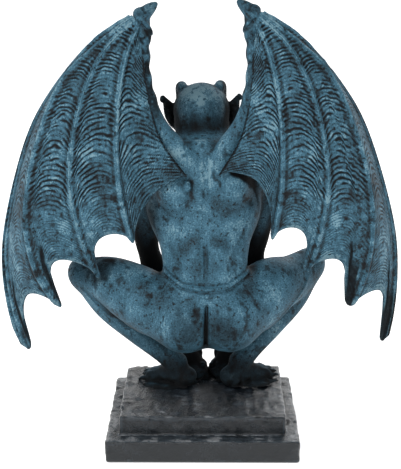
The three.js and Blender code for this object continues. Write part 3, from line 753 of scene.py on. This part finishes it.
def skin_faces(columns, rows, pick_c, pick_r):
    """The faces of a sheet: its rear in full, its front from the picked columns and rows, and a rim between."""
    fine = np.arange(columns * rows).reshape(columns, rows)
    coarse = columns * rows + np.arange(len(pick_c) * len(pick_r)).reshape(len(pick_c), len(pick_r))

    def sheet(index):
        a, b, c, d = index[:-1, :-1], index[1:, :-1], index[1:, 1:], index[:-1, 1:]
        return np.stack([a.ravel(), b.ravel(), c.ravel(), d.ravel()], 1)

    faces = [*sheet(fine).tolist(), *sheet(coarse)[:, ::-1].tolist()]

    def rim(line, other, picked, flip):
        place = {k: n for n, k in enumerate(picked)}
        n = 0
        for i in range(len(line) - 1):
            tri = [line[i], line[i + 1], other[n]]
            faces.append(tri[::-1] if flip else tri)
            if i + 1 in place:
                m = place[i + 1]
                tri = [line[i + 1], other[m], other[n]]
                faces.append(tri[::-1] if flip else tri)
                n = m

    rim(fine[:, 0], coarse[:, 0], pick_c, True)
    rim(fine[:, -1], coarse[:, -1], pick_c, False)
    rim(fine[0], coarse[0], pick_r, False)
    rim(fine[-1], coarse[-1], pick_r, True)
    return faces


def wing_piece(side):
    v = np.linspace(0, 1, WING_ROWS + 1) ** 0.93
    middle, gap_in, gap_out, panel_at, share_at, mean_run, prong_at = membrane(side, v)
    inmost = panel_at == PANELS - 1
    down = np.gradient(middle, axis=1)
    over = np.gradient(middle, axis=0)
    normal = np.cross(over, down)
    normal /= np.linalg.norm(normal, axis=2)[..., None] + 1e-9
    normal *= -np.sign(normal[..., 1:2])
    x, y, z = middle[..., 0], middle[..., 1], middle[..., 2]
    # ridges along the fingers: a soft shoulder with a narrow crest
    inset = RIB_INSET[side_name(side)] * smoothstep(v, 0.1, 0.4) * (1 - smoothstep(v, 0.9, 1))
    gap_first = np.where(panel_at == 0, np.abs(gap_in - inset), gap_in)
    gap_next = np.where(inmost, 99, gap_out)
    wander = 0.5 * noise(x, y, z, 15, 4)
    nearest = np.abs(np.minimum(gap_first, gap_next) + wander * 0.4)
    swell = 1 + 0.3 * noise(x, y, z, 7, 3)
    strand = np.cos(2 * np.pi * (nearest + 0.35 * wander) / 1.75) * hump(nearest, 3.0)
    ridge = 1.3 * swell * hump(nearest, 1.9) + 0.26 * strand
    valley = 0.5 * hump(nearest - 3.6, 1.2)
    # ripples across each panel, arched towards the wrist and broken up.
    # Those of the inmost panel fall towards the wing's arm.
    wide = gap_in + gap_out
    bow = 0.25 * wide * 4 * share_at * (1 - share_at)
    bow = np.where(inmost, 0.7 * bow - 17 * share_at**2, bow)
    warp = 2.0 * noise(x, y, z, 15, 5) + 0.9 * noise(x, y, z, 5.5, 6) + 0.6 * noise(x, y, z, 2.4, 7)
    phase = (mean_run + bow + warp) / (3.0 + 0.7 * smoothstep(v, 0.2, 0.8)) + 0.37 * panel_at
    wave = 0.5 + 0.5 * np.cos(2 * np.pi * phase)
    groove = wave ** (3.2 + 1.2 * noise(x, y, z, 9, 18))
    crest = (1 - wave) ** 1.5
    step = np.floor(phase)
    broken = smoothstep(noise(x, z, step * 2.3, 5, 8) + 0.8 * noise(x, y, z, 2.4, 9), -0.5, 0.55)
    smooth_low = np.where(inmost, 0, smoothstep(noise(x, y, z, 30, 15) + 1.9 * (v - 0.6), -0.1, 0.9))
    calm = smoothstep(nearest, 0.9, 2.6) * smoothstep(v, 0.015, 0.06) * (1 - 0.5 * smoothstep(v, 0.95, 0.99))
    strength = calm * (0.12 + 0.88 * broken) * (1 - 0.68 * smooth_low)
    rough = 0.16 * noise(x, y, z, 1.9, 11) + 0.12 * noise(x, y, z, 3.6, 12)
    relief = ridge - valley - 0.95 * strength * groove + 0.2 * strength * crest + rough
    pits = smoothstep(noise(x, y, z, 2.2, 16) + 0.5 * noise(x, y, z, 5, 17), 0.35, 0.85)
    lift = (0.77 if side < 0 else 0.755) + 0.08 * hump(nearest, 1.3) + 0.09 * strand
    flecks = smoothstep(noise(x, y, z, 1.6, 23) + 0.5 * noise(x, y, z, 4, 24), 0.0, 0.8)
    lift = lift - 1.15 * strength * groove + (0.1 + 0.22 * flecks) * strength * crest
    lift = lift - 0.3 * hump(nearest - 3.4, 1.2) + 0.16 * noise(x, y, z, 18, 13)
    lift = lift + (0.08 + 0.1 * smooth_low) * (noise(x, y, z, 5, 25) + 0.7 * noise(x, y, z, 2.6, 26))
    lift = lift - 0.35 * pits * (1 - 0.5 * strength)
    # painted shade in the crevice where the inmost panel meets the wing's arm
    lift = lift - 0.7 * np.where(inmost, 1 - smoothstep(gap_out, 0.3, 2.0), 0)
    lift = lift + 0.22 * smoothstep(v, 0.965, 0.99) * (1 - smoothstep(v, 0.992, 1.0))
    # darker towards the trailing edge, partly black paint and partly painted shade
    shade = 0.3 * smoothstep(v, 0.9, 1.0) * np.ones_like(x)
    # the inner faces of the outer prongs: black paint left there, and painted shade on these shadowed faces
    from_edge = prong_at - gap_in
    reach_in = np.where(panel_at == 0, 10.5, 7.5) if side > 0 else 1.6
    black = smoothstep(v, 0.83, 0.88) * (1 - smoothstep(from_edge, reach_in - 1, reach_in))
    black = black * smoothstep(from_edge, -5, -4)
    shade = np.maximum(shade, 0.95 * np.where((panel_at < 2) & (gap_in > 0.5), black, 0))
    edge = 1 - smoothstep(v, 0.985, 1.0)
    thick = HALF_THICK * (0.35 + 0.65 * np.sqrt(edge))
    rear = middle + normal * (thick + relief * (0.3 + 0.7 * edge))[..., None]
    veins = 0.22 * np.sin(2 * np.pi * (mean_run + 1.4 * bow + 2 * warp) / 13) * calm
    front = middle - normal * (thick + (1.3 * hump(nearest, 2.4) + veins) * edge)[..., None]
    # the front is coarser and plainer
    columns, rows = middle.shape[:2]
    pick_c = [*range(0, columns - 1, FRONT_COLUMN_STEP), columns - 1]
    pick_r = [*range(0, rows - 1, FRONT_ROW_STEP), rows - 1]
    faces = skin_faces(columns, rows, pick_c, pick_r)
    front = front[np.ix_(pick_c, pick_r)]
    points = np.vstack([rear.reshape(-1, 3), front.reshape(-1, 3)])
    near_front = nearest[np.ix_(pick_c, pick_r)]
    fx, fy, fz = front[..., 0], front[..., 1], front[..., 2]
    front_lift = 0.6 + 0.18 * hump(near_front, 1.8) - 0.3 * hump(near_front - 4.2, 1.8)
    front_lift = front_lift + 0.16 * noise(fx, fy, fz, 9, 21) + 0.12 * noise(fx, fy, fz, 22, 22)
    lift = np.concatenate([lift.ravel(), front_lift.ravel()])
    shade = np.concatenate([shade.ravel(), np.full(front_lift.size, 0.15)])
    points[:, 0] = WING_ROOT + (points[:, 0] - WING_ROOT) * SPREAD[side_name(side)]
    if side < 0:
        points[:, 0] *= -1
        faces = [f[::-1] for f in faces]
    lift = np.clip(lift, 0, 1)
    return shaded_mesh("gargoyle_wing_" + side_name(side), to_statue(points), faces, lift, shade)


# The plinth: two tiers of tooled slate, worn at the edges

PLINTH_STEP = 0.95
# the joints notched into the lower tier's sides: the side, and the place as a share of its depth
NOTCHES = ((-1, 0.3), (-1, -0.06), (1, -0.22), (1, 0.2))


def plinth_piece():
    form = Form((-73.5, -64.5, -1.5), (73.5, 64.5, 33.5), PLINTH_STEP)
    cut, (x, y, z) = form.window((-80, -70, -5), (80, 70, 40))

    def block(wide, deep, low, high, round_by):
        half = (wide / 2, deep / 2, (high - low) / 2)
        q = [abs(a) - b + round_by for a, b in zip((x, y, z - (low + high) / 2), half)]
        outside = np.sqrt(sum(np.maximum(a, 0) ** 2 for a in q))
        return outside + np.minimum(np.maximum(np.maximum(q[0], q[1]), q[2]), 0) - round_by

    low_tier = block(LOWER[0], LOWER[1], 0, LOWER[2], 2.4)
    high_tier = block(UPPER[0], UPPER[1], LOWER[2] - 6, PLINTH_TOP, 1.4)
    value = np.minimum(low_tier, high_tier)
    tall = np.broadcast_to(z, value.shape)
    rough = 0.5 * noise(x, y, z, 13, 31) + 0.42 * noise(x, y, z, 6, 32) + 0.26 * noise(x, y, z, 2.6, 33)
    chips = 0.9 * smoothstep(noise(x, y, z, 9, 34), 0.45, 0.8)
    worn = smoothstep(tall, 1.0, 3.0)
    tooled = 0.65 * noise(x, y * 0.35, z, 3.6, 40) + 0.4 * noise(x * 0.4, y, z, 4.6, 55)
    tooled = tooled * smoothstep(tall, PLINTH_TOP - 3, PLINTH_TOP - 1)
    value = value + 0.35 + (rough * 0.8 + chips * 0.8 + tooled) * worn
    for side, where in NOTCHES:
        notch = 1.5 * hump(abs(y - where * LOWER[1]) + 0 * x, 1.1) * smoothstep(side * x, 66, 71)
        value = value + notch * (1 - smoothstep(tall, 16, 19))
    form.value[cut] = value.astype(np.float32)
    form.keep(2, 0.0, True)
    points, triangles, quads, normal = form.mesh()
    near = form.sample(points + normal * 2.5) / 2.5
    wide = form.sample(points + normal * 5) / 5
    far_in = -form.sample(points - normal * 3.2) / 3.2
    px, py, pz = points.T
    edge = smoothstep(1 - far_in, 0.16, 0.5)
    level = smoothstep(normal[:, 2], 0.6, 0.9)
    strokes = noise(px, py * 0.4, pz, 5, 38) + 0.8 * noise(px * 0.5, py, pz, 3, 39)
    # painted light: the tops lighter than the sides, painted shade where the tiers meet, and a painted
    # highlight along the edges; the strokes on the tops are tool marks
    lift = (0.1 + 0.66 * level) * np.clip(near, 0, 1) * np.clip(wide, 0, 1) + 0.4 * level * strokes
    lift = lift + 0.6 * edge * (0.6 + 0.4 * noise(px, py, pz, 7, 36))
    lift = np.clip(lift + 0.08 * noise(px, py, pz, 11, 37), 0, 1)
    # a thin pale line where the upper tier stands on the lower one
    foot = np.maximum(abs(px) - UPPER[0] / 2, abs(py) - UPPER[1] / 2)
    seam = hump(foot - 0.9, 0.8) * smoothstep(pz, LOWER[2] - 1.2, LOWER[2] - 0.2)
    seam = seam * (1 - smoothstep(pz, LOWER[2] + 0.6, LOWER[2] + 1.6))
    lift = np.maximum(lift, seam * (1.2 + 0.4 * noise(px, py, pz, 5, 54)))
    faces = [*triangles.tolist(), *quads.tolist()]
    return shaded_mesh("plinth_slate", points * MM, faces, lift, np.zeros(len(points)))


# Paint


def node_tree(name):
    material = bpy.data.materials.new(name)
    material.use_nodes = True
    nodes = material.node_tree.nodes
    return material, nodes, material.node_tree.links, nodes["Principled BSDF"]


def new_node(nodes, kind, values=(), **settings):
    node = nodes.new(kind)
    for key, value in settings.items():
        setattr(node, key, value)
    for key, value in dict(values).items():
        node.inputs[key].default_value = value
    return node


def ramp_of(nodes, stops):
    node = nodes.new("ShaderNodeValToRGB")
    ramp = node.color_ramp
    while len(ramp.elements) < len(stops):
        ramp.elements.new(0.5)
    for element, (place, colour) in zip(ramp.elements, stops):
        element.position = place
        element.color = (*colour, 1)
    return node


BUMP_HEIGHT = 0.0006


def painted(name, stops, dark, speck, roughness, bump, specular, dark_roughness=None):
    """Paint that is dark in recesses and lighter where the form stands out, broken up by fine noise. The lift
    and shade it reads carry painted shade and light as well as the paint.
    """
    material, nodes, links, shader = node_tree(name)
    place = new_node(nodes, "ShaderNodeTexCoord")
    lift = new_node(nodes, "ShaderNodeAttribute", attribute_name="lift")
    shade = new_node(nodes, "ShaderNodeAttribute", attribute_name="shade")
    fine = new_node(nodes, "ShaderNodeTexNoise", {"Scale": 900.0, "Detail": 4.0, "Roughness": 0.65})
    broad = new_node(nodes, "ShaderNodeTexNoise", {"Scale": 60.0, "Detail": 3.0, "Roughness": 0.6})
    turned_stretch = {"Rotation": (0.3, 0.5, 0.4), "Scale": (1.0, 1.0, 0.22)}
    stroke_map = new_node(nodes, "ShaderNodeMapping", turned_stretch)
    stroke = new_node(nodes, "ShaderNodeTexNoise", {"Scale": 700.0, "Detail": 3.0, "Roughness": 0.6})
    pit = new_node(nodes, "ShaderNodeTexNoise", {"Scale": 420.0, "Detail": 2.0, "Roughness": 0.5})
    links.new(place.outputs["Object"], stroke_map.inputs["Vector"])
    links.new(stroke_map.outputs["Vector"], stroke.inputs["Vector"])
    for node in (fine, broad, pit):
        links.new(place.outputs["Object"], node.inputs["Vector"])

    def maths(kind, first, second):
        node = new_node(nodes, "ShaderNodeMath", operation=kind)
        for slot, value in ((0, first), (1, second)):
            if isinstance(value, float):
                node.inputs[slot].default_value = value
            else:
                links.new(value, node.inputs[slot])
        return node.outputs[0]

    grain = maths("MULTIPLY", maths("SUBTRACT", fine.outputs["Fac"], 0.5), speck)
    streaks = maths("MULTIPLY", maths("SUBTRACT", stroke.outputs["Fac"], 0.5), speck * 0.35)
    cloud = maths("MULTIPLY", maths("SUBTRACT", broad.outputs["Fac"], 0.5), speck * 0.7)
    pits = maths("MULTIPLY", maths("MAXIMUM", maths("SUBTRACT", pit.outputs["Fac"], 0.6), 0.0), -4.0 * speck)
    total = maths("ADD", maths("ADD", lift.outputs["Fac"], grain), maths("ADD", streaks, cloud))
    total = maths("ADD", total, pits)
    ramp = ramp_of(nodes, stops)
    links.new(total, ramp.inputs["Fac"])
    mixed = new_node(nodes, "ShaderNodeMix", data_type="RGBA")
    links.new(shade.outputs["Fac"], mixed.inputs[0])
    links.new(ramp.outputs["Color"], mixed.inputs[6])
    mixed.inputs[7].default_value = (*dark, 1)
    links.new(mixed.outputs[2], shader.inputs["Base Color"])
    if dark_roughness is None:
        shader.inputs["Roughness"].default_value = roughness
    else:
        dull = maths("ADD", maths("MULTIPLY", shade.outputs["Fac"], dark_roughness - roughness), roughness)
        links.new(dull, shader.inputs["Roughness"])
    shader.inputs["Specular IOR Level"].default_value = specular
    height = maths("ADD", fine.outputs["Fac"], stroke.outputs["Fac"])
    bumped = new_node(nodes, "ShaderNodeBump", {"Strength": bump, "Distance": BUMP_HEIGHT})
    links.new(height, bumped.inputs["Height"])
    links.new(bumped.outputs["Normal"], shader.inputs["Normal"])
    return material


patina = painted(
    "patina",
    ((0.0, (0.002, 0.003, 0.004)), (0.3, (0.006, 0.011, 0.015)), (0.52, (0.014, 0.038, 0.054)),
     (0.74, (0.027, 0.080, 0.118)), (0.9, (0.050, 0.128, 0.182)), (1.0, (0.125, 0.220, 0.265))),
    dark=(0.0025, 0.003, 0.0035), speck=0.95, roughness=0.6, bump=0.4, specular=0.16, dark_roughness=0.95)
slate = painted(
    "slate",
    ((0.0, (0.004, 0.006, 0.008)), (0.4, (0.016, 0.022, 0.028)),
     (0.75, (0.034, 0.044, 0.053)), (1.0, (0.17, 0.18, 0.19))),
    dark=(0.02, 0.02, 0.022), speck=0.75, roughness=0.22, bump=0.8, specular=0.4)

# each piece with the corners of its grid, the grid's step and its flat cuts:
# the axis, the place, and whether what lies above is kept
FIGURE_PIECES = (
    ("gargoyle_body", (-112, -46, -3), (112, 78, 226), 1.2, [(2, 0.3, True), (2, 200, False)]),
    ("gargoyle_head", (-34, 8, 196), (34, 82, 238), 0.62, [(2, 199.4, True), (1, 12, True)]),
    ("wing_arm_right", (2, -28, 196), (56, 8, 304), 0.7, [(2, 198, True)]),
    ("wing_arm_left", (-56, -28, 196), (-2, 8, 304), 0.7, [(2, 198, True)]),
)
figure = [figure_piece(*row) for row in FIGURE_PIECES]
figure += [wing_piece(side) for side in (1, -1)]
plinth = plinth_piece()

for piece in figure:
    piece.data.materials.append(patina)
    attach(piece, "root")
    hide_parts("figure")
plinth.data.materials.append(slate)
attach(plinth, "root")
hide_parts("plinth")

# Floor, light and camera

# the floor's radius and height in metres, from where it starts to rise into a cove
COVE = ((5.0, 0.0), (5.6, 0.15), (6.0, 0.6), (6.2, 1.4), (6.25, 2.6))
COVE_SIDES = 64
FLOOR_GLOW = 0.6
SKY = 0.54
rounds = [2 * math.pi * k / COVE_SIDES for k in range(COVE_SIDES)]
floor_points = [(r * math.cos(t), r * math.sin(t), h) for r, h in COVE for t in rounds]
floor_faces = [tuple(range(COVE_SIDES))]
for ring in range(len(COVE) - 1):
    for k in range(COVE_SIDES):
        n = (k + 1) % COVE_SIDES
        a, b = ring * COVE_SIDES, (ring + 1) * COVE_SIDES
        floor_faces.append((a + k, b + k, b + n, a + n))
floor_mesh = bpy.data.meshes.new("floor")
floor_mesh.from_pydata(floor_points, [], floor_faces)
floor_mesh.polygons.foreach_set("use_smooth", np.ones(len(floor_faces), bool))
floor = bpy.data.objects.new("floor", floor_mesh)
scene.collection.objects.link(floor)
pale, _, _, shader = node_tree("pale_floor")
shader.inputs["Base Color"].default_value = (0.9, 0.9, 0.9, 1)
shader.inputs["Roughness"].default_value = 0.9
shader.inputs["Emission Color"].default_value = (1, 1, 1, 1)
shader.inputs["Emission Strength"].default_value = FLOOR_GLOW
floor.data.materials.append(pale)

world = bpy.data.worlds.new("studio")
scene.world = world
world.use_nodes = True
world.node_tree.nodes["Background"].inputs["Color"].default_value = (1, 1, 1, 1)
world.node_tree.nodes["Background"].inputs["Strength"].default_value = SKY


LAMP_AIM = (0, 0, 0.18)


def lamp(name, place, size, watts):
    light = bpy.data.lights.new(name, "AREA")
    light.size = size
    light.energy = watts
    holder = bpy.data.objects.new(name, light)
    scene.collection.objects.link(holder)
    holder.location = place
    direction = np.array(LAMP_AIM) - np.array(place)
    holder.rotation_euler = Vector(direction).to_track_quat("-Z", "Y").to_euler()


lamp("key", (-0.55, -0.9, 1.0), size=0.45, watts=9.5)
lamp("fill", (0.9, -0.7, 0.6), size=0.8, watts=1.5)
lamp("front", (0.5, 1.1, 0.8), size=0.6, watts=5)

# the camera that was fitted to the photo, with its focal length in the photo's pixels
IMAGE = (401, 469)
FOCAL_PIXELS = 1200
SENSOR = 36
DISTANCE = 0.9
ELEVATION = math.radians(15.7)
YAW = math.radians(-0.36)
TARGET = np.array([-0.00195, 0, 0.1577])
camera_data = bpy.data.cameras.new("camera")
camera = bpy.data.objects.new("camera", camera_data)
scene.collection.objects.link(camera)
camera_data.lens = SENSOR * FOCAL_PIXELS / IMAGE[1]
camera_data.clip_start = 0.05
level_view = np.array([math.sin(YAW), math.cos(YAW), 0])
above = np.array([0, 0, DISTANCE * math.sin(ELEVATION)])
camera.location = TARGET - DISTANCE * math.cos(ELEVATION) * level_view + above
camera.rotation_euler = (math.radians(90) - ELEVATION, 0, -YAW)
bpy.context.scene.camera = camera
scene.view_settings.view_transform = "Standard"
